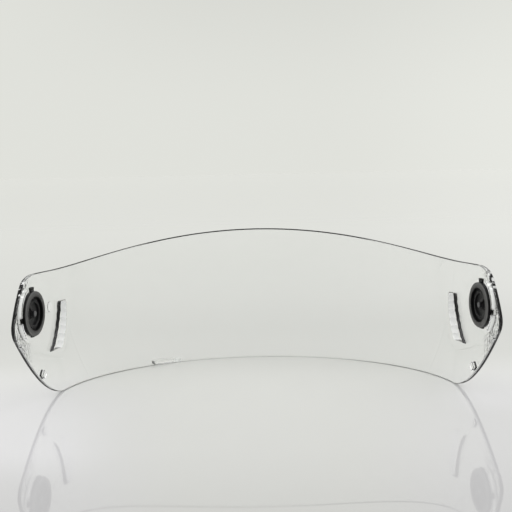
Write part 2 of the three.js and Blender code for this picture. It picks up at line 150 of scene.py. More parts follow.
def sideLimits():
    # upper and lower edge of the side outline, both from the rearmost point forward; the upper one
    # ends in an arc, R - sqrt(R^2 - d^2) above the plate's top
    steps = shell["outlineSteps"]
    corner = bezier(shell["rearCorner"], shell["cornerSteps"])
    rearmost = int(np.argmin(corner[:, 0]))
    limit = shell["frontReach"] + shell["pastFront"]
    y = np.linspace(shell["sweepStart"], limit, steps)
    fall = np.sqrt(shell["sweepRadius"] ** 2 - (y - shell["sweepStart"]) ** 2)
    sweep = shell["plateTop"] + shell["sweepRadius"] - fall
    upper = np.concatenate([
        corner[:rearmost + 1][::-1], bezier(shell["rearBulge"])[::-1][1:],
        bezier(shell["topCorner"])[::-1][1:], np.stack([y, sweep], axis=-1)])
    lower = np.concatenate([corner[rearmost:], bezier(shell["slope"], steps)[1:], [(limit, 0.0)]])
    return upper, lower


def makeShellBody():
    # stations run from one rear end round to the other; each is a closed loop: inner face up,
    # over the rounded top edge, outer face down, and round the bottom edge
    upper, lower = sideLimits()
    turn = shell["uprightTo"]  # the stations are upright to here and fan out with the arcs beyond
    rearY = upper[0, 0] / math.cos(toe) + shell["rearGap"]
    spacing = 1 - np.cos(np.linspace(shell["firstStation"], 0.5, shell["plateStations"]) * np.pi)
    plateAlong = rearY + (turn - rearY) * spacing
    share = np.linspace(0, 1, shell["frontStations"])[1:]
    share = np.concatenate([np.zeros(len(plateAlong)), share])
    plateAlong = np.concatenate([plateAlong, np.full(len(share) - len(plateAlong), turn)])

    def alongAt(z):
        radius, centre, tangent = sectionAt(z)
        return plateAlong + share * (tangent + radius * endAngle - turn)

    def limitAt(curve, z):
        # the outline's height where each station meets it, by halfway steps
        for _ in range(shell["fitRounds"]):
            y = shellPoint(alongAt(z), z, 0.0)[:, 1] - pivotY
            z = (z + np.interp(y, curve[:, 0], curve[:, 1])) / 2
        return z

    high = limitAt(upper, np.full(len(share), shell["plateTop"]))
    low = limitAt(lower, np.zeros(len(share)))
    size = np.minimum(shell["edgeRound"], (high - low) * almostHalf)
    rise = np.linspace(0, 1, shell["rows"])
    quarter = np.linspace(0, np.pi / 2, shell["roundSteps"] + 1)
    wall = shell["wall"]

    def corner(zEdge, sign, fromInner):
        # quarter round between a face and an edge, from inner face to edge or from edge to outer face
        a = quarter if fromInner else np.pi / 2 - quarter
        depth = size[:, None] * (1 - np.sin(a)[None, :]) * sign
        z = zEdge[:, None] - depth
        w = size[:, None] * (1 - np.cos(a)[None, :])
        return z, w if fromInner else wall - w

    innerZ = (low + size)[:, None] + rise * (high - low - 2 * size)[:, None]
    topIn = corner(high, 1, True)
    topOut = corner(high, 1, False)
    bottomOut = corner(low, -1, False)
    bottomIn = corner(low, -1, True)
    part = np.linspace(0, 1, shell["rimSteps"] + 2)[1:-1]
    across = size[:, None] + (wall - 2 * size)[:, None] * part
    loopZ = np.concatenate([
        innerZ, topIn[0][:, 1:], high[:, None] + 0 * across, topOut[0], innerZ[:, ::-1][:, 1:],
        bottomOut[0][:, ::-1][:, 1:], low[:, None] + 0 * across, bottomIn[0][:, ::-1][:, :-1]], axis=1)
    loopW = np.concatenate([
        0 * innerZ, topIn[1][:, 1:], across, topOut[1], 0 * innerZ[:, 1:] + wall,
        bottomOut[1][:, ::-1][:, 1:], across[:, ::-1], bottomIn[1][:, ::-1][:, :-1]], axis=1)
    right = np.stack([shellPoint(alongAt(z), z, w) for z, w in zip(loopZ.T, loopW.T)], axis=1)
    left = right[::-1][1:] * np.array([-1, 1, 1])
    return cappedMesh("shield_body", np.concatenate([right, left], axis=0))


def plateAxes(side):
    # an end plate's frame: forward along it, up, and out away from the head
    forward = np.array([-side * math.sin(toe), math.cos(toe), 0.0])
    out = np.array([side * math.cos(toe), math.sin(toe), 0.0])
    corner = np.array([side * shell["pivotSpan"] / 2, pivotY, shell["pivotHeight"]])
    return corner, forward, np.array([0.0, 0.0, 1.0]), out


def platePoints(side, along, up, out):
    # corner + along * forward + up * upward + out * outward, for whole arrays
    corner, forward, upward, outward = plateAxes(side)
    along, up, out = np.broadcast_arrays(along, up, out)
    return corner + along[..., None] * forward + up[..., None] * upward + out[..., None] * outward


def shellDepth(along, up):
    # how far the arc has turned in from the flat plate: R - sqrt(R^2 - d^2) past the tangent
    radius, centre, tangent = sectionAt(up + shell["pivotHeight"])
    past = np.maximum(along - tangent, 0)
    return radius - np.sqrt(radius ** 2 - past ** 2)


def faceOut(obj):
    # doubles become one point, then every face is turned outwards
    work = bmesh.new()
    work.from_mesh(obj.data)
    bmesh.ops.remove_doubles(work, verts=work.verts, dist=mergeDistance)
    bmesh.ops.recalc_face_normals(work, faces=work.faces)
    work.to_mesh(obj.data)
    work.free()
    return obj


def stack(name, layers, side):
    # a closed solid through layers of equal outlines (along, up, out), with flat caps
    return faceOut(cappedMesh(name, np.stack([platePoints(side, *layer) for layer in layers])))


def prism(name, line, start, end, side):
    # one outline carried straight along the axis
    return stack(name, [(*line, start), (*line, end)], side)


def combine(target, tool, operation):
    # joins the tool to the target or cuts it away, and then the tool is gone
    change = target.modifiers.new("change", "BOOLEAN")
    change.operation = operation
    change.solver = "MANIFOLD"
    change.object = tool
    deps = bpy.context.evaluated_depsgraph_get()
    mesh = bpy.data.meshes.new_from_object(target.evaluated_get(deps))
    target.modifiers.clear()
    old = target.data
    target.data = mesh
    bpy.data.meshes.remove(old)
    bpy.data.objects.remove(tool)


def circle(radius, steps=96, along=0.0, up=0.0):
    # x = along + r cos a, y = up + r sin a
    a = np.linspace(0, 2 * np.pi, steps, endpoint=False)
    return along + radius * np.cos(a), up + radius * np.sin(a)


def barLine(length, width, along, up, turn, corner=0.0004, steps=5):
    # rectangle with round corners, turned about its middle
    a = np.radians(turn)
    quarter = np.linspace(0, np.pi / 2, steps)
    x, y = [], []
    for i, (sx, sy) in enumerate([(1, 1), (-1, 1), (-1, -1), (1, -1)]):
        t = quarter + i * np.pi / 2
        x.append(sx * (length / 2 - corner) + corner * np.cos(t))
        y.append(sy * (width / 2 - corner) + corner * np.sin(t))
    x, y = np.concatenate(x), np.concatenate(y)
    return along + x * np.cos(a) - y * np.sin(a), up + x * np.sin(a) + y * np.cos(a)


def ringLine(a, inner, outer):
    # a part of a flat ring: out along the angles a and back again
    x = np.concatenate([outer * np.cos(a), inner * np.cos(a[::-1])])
    y = np.concatenate([outer * np.sin(a), inner * np.sin(a[::-1])])
    return x, y


# Forms moulded on the end plates: places forward of the pivot and up from the bottom edge, heights
# off the plate's inner face
plateForms = dict(
    ribRadius=0.0148, ribWidth=0.0015, ribHeight=0.0022, ribCrest=0.42,
    ribs=[(122.0, 182.0), (193.0, 232.0)], seatRadius=0.01465, seatSkin=0.00007,
    hookHeight=0.0012, hookLength=0.007, hookWidth=0.0021, hookTurn=-33.0,
    hookForward=-0.0124, hookLevel=0.0346,
    pegSize=0.004, pegHeight=0.0022, pegForward=0.010, pegLevel=0.016, pegTurn=-40.0,
    gateRadius=0.00315, gateHeight=0.0002, gateForward=0.0238, gateLevel=0.0519,
    slotNearRadius=0.0342, slotTopAngle=3.4, slotBottomAngle=-47.0, slotTopWidth=0.0053,
    slotBottomWidth=0.0131, notches=6, toothHeight=0.0007, nearTooth=0.0005,
    lipWidth=0.0009, lipTop=0.0003, lipHeight=0.0013, lipEnds=0.5, lipLevels=(0.0, 0.4, 0.75, 1.0),
    boreRadius=0.00915, counterboreRadius=0.011, counterboreDepth=0.0013,
    chamfer=0.0002, root=0.0008, through=0.008, slotSteps=145, ribSteps=60, crestSteps=6, gateSteps=64,
)


def slotWidth(t):
    # grows evenly from the top to the bottom
    f = plateForms
    return f["slotBottomWidth"] + (f["slotTopWidth"] - f["slotBottomWidth"]) * t


def slotLine(grow):
    # the near wall runs round the pivot and the far one stands a growing width ahead of it; both
    # are scalloped by 1 - |sin| along the way. A grown outline reaches further round as well.
    f = plateForms
    t = np.linspace(0, 1, f["slotSteps"])
    spread = f["lipEnds"] * grow / f["slotNearRadius"]
    start, stop = math.radians(f["slotBottomAngle"]) - spread, math.radians(f["slotTopAngle"]) + spread
    a = start + (stop - start) * t
    scallop = (1 - np.abs(np.sin(np.pi * f["notches"] * t))) * (grow == 0)
    near = f["slotNearRadius"] - grow + f["nearTooth"] * scallop
    far = f["slotNearRadius"] * np.cos(a) + slotWidth(t) + grow - f["toothHeight"] * scallop
    level = f["slotNearRadius"] * np.sin(a)
    return np.concatenate([far, (near * np.cos(a))[::-1]]), np.concatenate([level, (near * np.sin(a))[::-1]])


def formOnPlate(name, line, height, side, lineTop=None, levels=(0.0, 1.0)):
    # a raised form that follows the shell's inner face from its root inside the wall, with its top
    # edge eased
    chamfer, root = plateForms["chamfer"], plateForms["root"]
    topX, topY = lineTop or line
    layers = []
    for t in levels:
        x, y = line[0] + (topX - line[0]) * t, line[1] + (topY - line[1]) * t
        layers.append((x, y, -shellDepth(x, y) - (height - chamfer) * t + root * (t == 0)))
    cx, cy = topX.mean(), topY.mean()
    ease = 1 - 2 * chamfer / max(np.ptp(topX), np.ptp(topY))
    insetX, insetY = cx + (topX - cx) * ease, cy + (topY - cy) * ease
    layers.append((insetX, insetY, -shellDepth(insetX, insetY) - height))
    return stack(name, layers, side)


def ribOnPlate(side, start, stop):
    # one length of the rib round the disc, with a crest rounded by its sine and cosine
    f = plateForms
    a = np.radians(np.linspace(start, stop, f["ribSteps"]))
    crest = f["ribWidth"] * f["ribCrest"]
    layers = []
    for t in np.linspace(0, np.pi / 2, f["crestSteps"]):
        inset = crest * (1 - np.cos(t))
        ends = inset / f["ribRadius"]
        b = a[0] + ends + (a - a[0]) * (1 - 2 * ends / (a[-1] - a[0]))
        line = ringLine(b, f["ribRadius"] + inset, f["ribRadius"] + f["ribWidth"] - inset)
        layers.append((*line, -f["ribHeight"] + crest * (1 - np.sin(t))))
    layers.insert(0, (*layers[0][:2], f["root"]))
    return stack("rib", layers, side)


# The lifting tab on the bottom edge. Its angle is from straight ahead, plus to the rider's right.
tab = dict(angle=-31.2, length=0.020, reach=0.0056, root=0.0015, thickness=0.0019, bottom=0.0005,
           corner=0.0032, bevel=0.0005, cornerSteps=9, bevelSteps=5)


def makeTab():
    # a level ledge with round corners and eased edges, square to the shell where it stands
    radius, centre, tangent = sectionAt(tab["bottom"])
    a = math.radians(tab["angle"])
    outward = np.array([math.sin(a), math.cos(a), 0.0])
    alongTab = np.array([math.cos(a), -math.sin(a), 0.0])
    base = (radius + shell["wall"]) * outward + np.array([0, centre + pivotY, 0])
    quarter = np.linspace(0, np.pi / 2, tab["cornerSteps"])
    easing = np.linspace(0, np.pi / 2, tab["bevelSteps"])
    ease, lift = tab["bevel"] * (1 - np.sin(easing)), tab["bevel"] * (1 - np.cos(easing))
    insets = np.concatenate([ease, ease[::-1]])
    heights = np.concatenate([lift, tab["thickness"] - lift[::-1]])
    rows = []
    for height, inset in zip(heights, insets):
        half, tip, c = tab["length"] / 2 - inset, tab["reach"] - inset, tab["corner"]
        x = np.concatenate([[half], half - c + c * np.cos(quarter), c - half - c * np.sin(quarter), [-half]])
        y = np.concatenate([
            [-tab["root"]], tip - c + c * np.sin(quarter), tip - c + c * np.cos(quarter), [-tab["root"]]])
        rows.append(base + x[:, None] * alongTab + y[:, None] * outward + [0, 0, tab["bottom"] + height])
    return faceOut(cappedMesh("tab", np.stack(rows)))


body = makeShellBody()
print("shell body", len(body.data.polygons), "faces")
combine(body, makeTab(), "UNION")
f, pivot, through = plateForms, shell["pivotHeight"], plateForms["through"]
for side in (1, -1):
    lip = formOnPlate(
        "lip", slotLine(f["lipWidth"]), f["lipHeight"], side, slotLine(f["lipTop"]), f["lipLevels"])
    combine(body, lip, "UNION")
    peg = barLine(f["pegSize"], f["pegSize"], f["pegForward"], f["pegLevel"] - pivot, f["pegTurn"])
    combine(body, formOnPlate("peg", peg, f["pegHeight"], side), "UNION")
    hook = barLine(f["hookLength"], f["hookWidth"], f["hookForward"], f["hookLevel"] - pivot, f["hookTurn"])
    combine(body, formOnPlate("hook", hook, f["hookHeight"], side), "UNION")
    for start, stop in f["ribs"]:
        combine(body, ribOnPlate(side, start, stop), "UNION")
    counterboreFloor = shell["wall"] - f["counterboreDepth"]
    for name, line, start, end in (
            ("seat", circle(f["seatRadius"]), -through, -f["seatSkin"]),
            ("slot", slotLine(0.0), -through, through),
            ("bore", circle(f["boreRadius"]), -through, through),
            ("counterbore", circle(f["counterboreRadius"]), counterboreFloor, through)):
        combine(body, prism(name, line, start, end, side), "DIFFERENCE")
gate = circle(f["gateRadius"], f["gateSteps"], f["gateForward"], f["gateLevel"] - pivot)
combine(body, formOnPlate("gate", gate, f["gateHeight"], -1), "UNION")


# How much painted shade and painted light each cut or moulded edge gets, from 0 for clear to 1, and
# where: they stand in for the dark lines and bright glints that light bent and trapped in the clear
# wall gives its edges; on the slot's far wall the pale share is also the wall's frosted moulding.
# Places are forward of the pivot and up from it. What ends in From is a share of the wall's
# thickness, counted from its inner face.
edgeShades = dict(
    nearWall=0.98, farWall=0.85, nearReach=0.0006, farReach=0.0009, slotSlack=1.0, slotEnds=0.02,
    crest=0.75, crestSpan=(-0.0002, 0.002), crestHeight=0.0001, crestEnds=0.05, crestGap=0.3,
    rim=0.55, rimFacing=0.94, rimRadius=0.0152, clearForward=0.04, clearUp=-0.012, clearRadius=0.02,
    slopeDark=0.62, slopePale=0.5, slopeFrom=0.22, slopePaleEnd=0.024, slopeTop=-0.0125, slopeFront=0.042,
    rearDark=0.93, rearInner=0.35, rearFrom=0.3, rearMiddle=0.002, rearHalf=0.0145,
    cornerDark=0.45, cornerPale=0.3, cornerFrom=0.5, cornerBottom=0.0165, cornerFront=0.006,
    bottomDark=1.0, bottomMiddle=0.3, bottomSide=0.05, bottomBlend=0.04, bottomTop=-0.03,
    tabPale=0.85, tabTurn=3.2, tabOut=0.0002, tabTop=-0.045, ribPale=0.55, ribRing=(0.0156, 0.0168),
    cutFacing=0.6, skin=0.00002, skinFacing=0.985, step=0.0001,
)


def between(values, low, high):
    return (values > low) & (values < high)


def edgeShares(forward, up, outward, facing, sideways, turned):
    # the painted-shade and the painted-light share of every face, from where it lies, how squarely it
    # faces off the shell, how far it is from the middle and its angle round the arc
    e, f, wall = edgeShades, plateForms, shell["wall"]
    top, bottom = f["slotTopAngle"], f["slotBottomAngle"]
    cut = facing < e["cutFacing"]
    fromPivot = np.hypot(forward, up)
    inSlot = (forward > 0) & between(
        np.degrees(np.arctan2(up, forward)), bottom - e["slotSlack"], top + e["slotSlack"])
    near = cut & inSlot & (
        np.abs(fromPivot - f["slotNearRadius"] - f["nearTooth"] / 2) < e["nearReach"])
    a = np.arcsin(np.clip(up / f["slotNearRadius"], -1, 1))
    t = (np.degrees(a) - bottom) / (top - bottom)
    pastFar = forward - f["slotNearRadius"] * np.cos(a) - slotWidth(t)
    farWall = cut & (forward > 0) & (np.abs(pastFar + f["toothHeight"] / 2) < e["farReach"]) & between(
        t, -e["slotEnds"], 1 + e["slotEnds"])
    onCrest = between(pastFar, *e["crestSpan"]) & (outward < -e["crestHeight"]) & between(
        t, -e["crestEnds"], 1 + e["crestEnds"]) & (np.abs(np.sin(np.pi * f["notches"] * t)) > e["crestGap"])

    keptClear = np.hypot(forward - e["clearForward"], up - e["clearUp"]) < e["clearRadius"]
    rim = (facing < e["rimFacing"]) & between(outward, 0, wall) & ~near & ~farWall & (
        fromPivot > e["rimRadius"]) & ~keptClear
    across = outward / wall
    onSlope = rim & (up < e["slopeTop"]) & (forward < e["slopeFront"])
    slopeInside = onSlope & (across <= e["slopeFrom"]) & (forward < e["slopePaleEnd"])
    onRear = rim & (np.abs(up - e["rearMiddle"]) <= e["rearHalf"]) & (forward < 0)
    onCorner = rim & (up > e["cornerBottom"]) & (forward < e["cornerFront"])
    cornerInside = onCorner & (across <= e["cornerFrom"])
    onRib = cut & (outward < 0) & between(fromPivot, *e["ribRing"]) & (forward < 0)
    onTab = (outward > wall + e["tabOut"]) & (up < e["tabTop"]) & between(
        turned, tab["angle"] + e["tabTurn"], 0)

    ends = np.clip((sideways - e["bottomSide"]) / e["bottomBlend"], 0, 1)
    bottomEdge = e["bottomMiddle"] + (e["bottomDark"] - e["bottomMiddle"]) * ends
    # painted shade: how dark each kind of edge is drawn
    dark = np.select(
        [cornerInside, onCorner, onRear & (across > e["rearFrom"]), onRear, slopeInside, onSlope,
         onCrest, near, rim & (up < e["bottomTop"]), rim],
        [0.0, e["cornerDark"], e["rearDark"], e["rearInner"], 0.0, e["slopeDark"],
         e["crest"], e["nearWall"], bottomEdge, e["rim"]], 0.0)
    # painted light: the highlight share of the far wall, rib, tab, slope and corner; the far wall is also
    # frosted
    pale = np.select(
        [farWall, onRib, onTab, slopeInside, cornerInside],
        [e["farWall"], e["ribPale"], e["tabPale"], e["slopePale"], e["cornerPale"]], 0.0)
    return dark, pale


def meshValues(items, name, width=1, kind=float):
    # one value of every point, corner or face, as an array
    values = np.empty(len(items) * width, dtype=kind)
    items.foreach_get(name, values)
    return values.reshape(-1, width) if width > 1 else values


def polish(mesh):
    # corners on the shell's inner and outer faces take the true surface's normal: the cross product
    # of its steps along the section and up. Each face gets its share of painted shade and of painted light.
    e = edgeShades
    shadeSmooth(mesh, shell["creaseAngle"])
    mesh.update()
    points = meshValues(mesh.vertices, "co", 3)[meshValues(mesh.loops, "vertex_index", kind=int)]
    normals = meshValues(mesh.corner_normals, "vector", 3)
    size = meshValues(mesh.polygons, "loop_total", kind=int)
    faceNormals = np.repeat(meshValues(mesh.polygons, "normal", 3), size, axis=0)
    side, along, z, out, angle = placeOnShell(points)
    step = e["step"]
    lengthwise = shellPoint(along + step, z, out) - shellPoint(along - step, z, out)
    upward = shellPoint(along, z + step, out) - shellPoint(along, z - step, out)
    true = np.cross(lengthwise, upward)
    true /= np.linalg.norm(true, axis=1, keepdims=True)
    true[:, 0] *= side
    facing = np.sum(true * faceNormals, axis=1)
    onSkin = (np.abs(out) < e["skin"]) | (np.abs(out - shell["wall"]) < e["skin"])
    onSkin &= np.abs(facing) > e["skinFacing"]
    normals[onSkin] = (true * np.sign(facing)[:, None])[onSkin]
    mesh.normals_split_custom_set(normals.tolist())

    first = np.concatenate([[0], np.cumsum(size)[:-1]])

    def mean(values):
        return np.add.reduceat(values, first) / size

    dark, pale = edgeShares(
        mean(along), mean(z) - shell["pivotHeight"], mean(out), np.abs(facing[first]),
        np.abs(mean(points[:, 0])), np.degrees(mean(angle * side)))
    # kept on the faces as their shares of painted shade and painted light
    for name, share in (("dark", dark), ("pale", pale)):
        mesh.attributes.new(name, "FLOAT", "FACE").data.foreach_set("value", share.astype(np.float32))
    return int(onSkin.sum()), int((dark > 0).sum()), int((pale > 0).sum())


print("shell with its forms", len(body.data.polygons), "faces")
print("corners on the true surface, dark and pale faces:", *polish(body.data))
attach(body, "shield")
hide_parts("shield")


def rounded(profile, steps=4):
    # each corner (radius, place, round) of a closed outline becomes a curve between two points that
    # stand its round away along both sides
    out = []
    points = [np.array(p[:2], dtype=float) for p in profile]
    for k, p in enumerate(points):
        before, after = points[k - 1] - p, points[(k + 1) % len(points)] - p
        size = profile[k][2]
        if size == 0:
            out.append(p[None])
            continue
        a, b = (p + way / np.linalg.norm(way) * min(size, np.linalg.norm(way) * almostHalf)
                for way in (before, after))
        out.append(bezier([a, p, b], steps + 1))
    return np.concatenate(out)


def lathe(name, profile, side, steps):
    # the outline turned round the disc's axis: along = r cos a, up = r sin a, out = place
    line = rounded(profile)
    a = np.linspace(0, 2 * np.pi, steps, endpoint=False)[:, None]
    grid = platePoints(side, line[:, 0] * np.cos(a), line[:, 0] * np.sin(a), line[:, 1] + 0 * a)
    return faceOut(makeMesh(name, grid, gridFaces(*grid.shape[:2], closeRows=True)))


def easedStack(name, line, start, end, ease, side, steps=4):
    # an outline run along the axis from an eased edge at its start to a plain one at its end
    x, y = line
    cx, cy = x.mean(), y.mean()
    size = max(np.ptp(x), np.ptp(y)) / 2
    layers = []
    for t in np.linspace(0, np.pi / 2, steps):
        k = 1 - ease * (1 - np.sin(t)) / size
        layers.append((cx + (x - cx) * k, cy + (y - cy) * k, start + ease * (1 - np.cos(t))))
    layers.append((x, y, end))
    return stack(name, layers, side)


# The pivot disc's housing, core and pin: radii from the axis and places along it, plus is outwards
housing = dict(
    ringRadius=0.0123, ringBore=0.0093, face=-0.0027, base=-0.00015, grooveFloor=-0.0009,
    ringRound=0.00045, boreRound=0.00025, neckRadius=0.009, neckEnd=0.0022, cupFloor=0.0011,
    cupBore=0.008, pinBore=0.00125,
    pocketRadius=0.0032, pocketFloor=0.00145, edgeRound=0.00015,
    beadRadius=0.0115, beadHeight=0.00012, beadFoot=0.0004, beadTop=0.0001, beadFall=0.5,
    lugHeight=0.0009, lugWidth=0.005, lugRoot=0.0105, lugSink=0.00002, lugRound=0.0003, lugSteps=24,
    lugs=[(0, 0.013), (90, 0.0145), (190, 0.0145), (270, 0.013)], steps=160,
)


def makeHousing(side):
    # ring, bead, groove, cup and neck in one turn, then four lugs
    h = housing
    e = h["edgeRound"]
    bead, crest = h["beadRadius"], h["face"] + h["beadHeight"]
    obj = lathe("housing", [
        (h["pinBore"], h["cupFloor"], 0), (h["cupBore"], h["cupFloor"], e),
        (h["cupBore"], h["grooveFloor"], e), (h["ringBore"], h["grooveFloor"], e),
        (h["ringBore"], h["face"], h["boreRound"]),
        (bead - h["beadFoot"], h["face"], e), (bead - h["beadTop"], crest, e),
        (h["ringRadius"], h["face"] + h["beadHeight"] * h["beadFall"], h["ringRound"]),
        (h["ringRadius"], h["base"], e), (h["neckRadius"], h["base"], 0), (h["neckRadius"], h["neckEnd"], e),
        (h["pocketRadius"], h["neckEnd"], e), (h["pocketRadius"], h["pocketFloor"], 0),
        (h["pinBore"], h["pocketFloor"], 0)], side, h["steps"])
    for turn, reach in h["lugs"]:
        middle, half = math.radians(turn), math.asin(h["lugWidth"] / 2 / reach)
        line = ringLine(np.linspace(middle - half, middle + half, h["lugSteps"]), h["lugRoot"], reach)
        lug = easedStack(
            "lug", line, h["base"] - h["lugHeight"], h["base"] - h["lugSink"], h["lugRound"], side)
        combine(obj, lug, "UNION")
    return obj


core = dict(
    radius=0.00785, bore=0.0062, face=-0.0016, floor=-0.0005, end=0.0, edgeRound=0.0002,
    bossRadius=0.0026, bossFace=-0.0011, barCorner=0.0003,
    webWidth=0.0017, webFace=-0.0014, webFoot=-0.0002, webTurn=132.0, webStart=0.0019, webOverlap=0.0008,
    webRound=0.00025, keyWidth=0.0012, keyLength=0.0026, keyTurn=212.0, keyFrom=-0.004, keyTo=0.003,
)


def coreBar(length, width, middle, turn):
    # a bar across the core, its middle at a radius and its length along that radius
    a = math.radians(turn)
    return barLine(length, width, middle * math.cos(a), middle * math.sin(a), turn, core["barCorner"])


def makeCore(side):
    # a shallow cup with a boss, one slanting web and a key slot
    c, hole = core, housing["pinBore"]
    e = c["edgeRound"]
    obj = lathe("core", [
        (hole, c["bossFace"], e), (c["bossRadius"], c["bossFace"], e), (c["bossRadius"], c["floor"], e),
        (c["bore"], c["floor"], e), (c["bore"], c["face"], e), (c["radius"], c["face"], e),
        (c["radius"], c["end"], e), (hole, c["end"], 0)], side, housing["steps"])
    start, end = c["webStart"], c["bore"] + c["webOverlap"]
    web = coreBar(end - start, c["webWidth"], (start + end) / 2, c["webTurn"])
    combine(obj, easedStack("web", web, c["webFace"], c["webFoot"], c["webRound"], side), "UNION")
    key = coreBar(c["keyLength"], c["keyWidth"], (c["bore"] + c["bossRadius"]) / 2, c["keyTurn"])
    combine(obj, prism("key", key, c["keyFrom"], c["keyTo"], side), "DIFFERENCE")
    return obj


pin = dict(
    headRadius=0.00155, tip=-0.0026, headEnd=-0.00125, dome=0.00035, domeFrom=0.15, domeSteps=8,
    radius=0.0011, end=0.0021, endRound=0.0001, grooveRadius=0.0008, grooveRound=0.00005,
    grooveStart=0.001525, grooveEnd=0.001975, axisHole=0.00002, steps=64,
)


def makePin(side):
    # a head domed by its sine and cosine, a shaft and a groove; rings of almost no radius meet the axis
    p = pin
    angles = np.linspace(p["domeFrom"], 1, p["domeSteps"]) * math.pi / 2
    dome = [(p["headRadius"] * math.sin(t), p["tip"] + p["dome"] * (1 - math.cos(t)), 0) for t in angles]
    return lathe("pin", [(p["axisHole"], p["tip"], 0), *dome] + [
        (p["headRadius"], p["headEnd"], p["endRound"]), (p["radius"], p["headEnd"], 0),
        (p["radius"], p["grooveStart"], p["grooveRound"]), (p["grooveRadius"], p["grooveStart"], 0),
        (p["grooveRadius"], p["grooveEnd"], 0), (p["radius"], p["grooveEnd"], 0),
        (p["radius"], p["end"], p["endRound"]), (p["axisHole"], p["end"], 0)], side, p["steps"])


discCrease = 40.0
discPieces = []
for side, sideName in ((1, "right"), (-1, "left")):
    for make, node, rider, slotName in (
            (makeHousing, "hub_housing", "hub", "black_nylon"),
            (makeCore, "lock_core", "lock", "core_nylon"),
            (makePin, "centre_pin", "lock", "dark_pin_steel")):
        obj = make(side)
        obj.name = sideName + "_" + node + "_body"
        shadeSmooth(obj.data, discCrease)
        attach(obj, sideName + "_" + rider)
        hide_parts(sideName + "_" + node)
        discPieces.append((obj, slotName))
print("disc pieces", [len(obj.data.polygons) for obj, slotName in discPieces], "faces")


class Value:
    # a socket that takes part in sums, each of which adds a Math node
    def __init__(self, graph, socket):
        self.graph, self.socket = graph, socket

    def math(self, operation, *terms):
        return self.graph.node("ShaderNodeMath", dict(operation=operation), list(terms))

    def __add__(self, other):
        return self.math("ADD", self, other)

    def __radd__(self, other):
        return self.math("ADD", other, self)

    def __sub__(self, other):
        return self.math("SUBTRACT", self, other)

    def __rsub__(self, other):
        return self.math("SUBTRACT", other, self)

    def __mul__(self, other):
        return self.math("MULTIPLY", self, other)

    def __rmul__(self, other):
        return self.math("MULTIPLY", other, self)

    def __truediv__(self, other):
        return self.math("DIVIDE", self, other)

    def __rtruediv__(self, other):
        return self.math("DIVIDE", other, self)

    def __abs__(self):
        return self.math("ABSOLUTE", self)

    def root(self):
        return self.math("SQRT", self)


class Graph:
    # a node tree that is built by one method
    def __init__(self, owner):
        owner.use_nodes = True
        self.tree = owner.node_tree
        self.tree.nodes.clear()

    def node(self, kind, settings=None, inputs=None, output=0):
        made = self.tree.nodes.new(kind)
        for key, value in (settings or {}).items():
            if key == "stops":
                ramp = made.color_ramp
                while len(ramp.elements) < len(value):
                    ramp.elements.new(0.5)
                for element, (place, colour) in zip(ramp.elements, value):
                    element.position = place
                    element.color = colour
            else:
                setattr(made, key, value)
        pairs = enumerate(inputs) if isinstance(inputs, list) else (inputs or {}).items()
        for key, value in pairs:
            if isinstance(value, Value):
                self.tree.links.new(value.socket, made.inputs[key])
            else:
                made.inputs[key].default_value = value
        return Value(self, made.outputs[output])

    def parts(self, vector):
        # x, y and z of a vector
        split = self.node("ShaderNodeSeparateXYZ", inputs=[vector])
        return [Value(self, socket) for socket in split.socket.node.outputs]

    def plate(self, place):
        # where a point lies on its end plate: forward from the pivot, up from it, outwards, and how far
        x, y, z = self.parts(place)
        beside = abs(x) - shell["pivotSpan"] / 2
        ahead, up = y - pivotY, z - shell["pivotHeight"]
        along = ahead * math.cos(toe) - beside * math.sin(toe)
        out = beside * math.cos(toe) + ahead * math.sin(toe)
        return along, up, out, (along * along + up * up).root()

    def ramp(self, value, start, end):
        # 0 before start, 1 after end, and a soft rise between them
        return self.node("ShaderNodeMapRange", dict(interpolation_type="SMOOTHSTEP"), {
            "Value": value, "From Min": start, "From Max": end, "To Min": 0.0, "To Max": 1.0})

    def mix(self, share, first, second, blend="MIX"):
        return self.node("ShaderNodeMix", dict(data_type="RGBA", blend_type=blend), {
            "Factor": share, "A": first, "B": second}, 2)

    def noise(self, place, scale, detail):
        return self.node("ShaderNodeTexNoise", inputs={"Vector": place, "Scale": scale, "Detail": detail})

    def finish(self, surface, kind="ShaderNodeOutputMaterial"):
        end = self.tree.nodes.new(kind)
        self.tree.links.new(surface.socket, end.inputs["Surface"])


def startMaterial(name):
    material = bpy.data.materials.new(name)
    g = Graph(material)
    return material, g, g.node("ShaderNodeTexCoord", output="Object")


def wear(obj, material):
    # the piece has this material alone
    obj.data.materials.clear()
    obj.data.materials.append(material)


# The clear moulding, with painted shade at its foot and on cut edges, and painted light that glows
# on cut edges. A pair of numbers is where a soft rise or fall starts and ends.
clearLook = dict(
    index=1.585, body=(0.985, 0.99, 0.985, 1), foot=(0.62, 0.63, 0.62, 1), footRise=(0.00005, 0.0007),
    haze=0.012, smearScale=40.0, smearDetail=3.0, shadow=(0.95, 0.955, 0.95, 1),
    cutDark=(0.008, 0.008, 0.008, 1), cutPale=(0.86, 0.87, 0.85, 1), cutRough=0.5, cutSmear=0.2,
    cutShine=0.15, cutGlow=0.22, stepWidth=0.0006,
    zoneAlong=0.0408, zoneTurn=-0.45, zoneBend=3.6, zoneStep=-0.000016,
    underLevel=-0.0245, underTurn=-0.2, underStep=0.00003, underRise=(0.008, 0.014), underFall=(0.042, 0.05),
    flowScale=600.0, flowDetail=2.0, flowHeight=0.0004, rearFall=(-0.012, 0.004), ringRise=(0.0152, 0.0165),
    speckShare=0.75, speckLow=0.3, speckRise=(0.54, 0.59), speckFall=(0.0185, 0.0245),
    speckGap=(0.00007, 0.00014), speckUp=(-0.002, 0.006),  # the gap goes by the height squared
    gateFrost=0.3, gateEdge=0.0004, gateSide=(-0.01, 0.0),
)


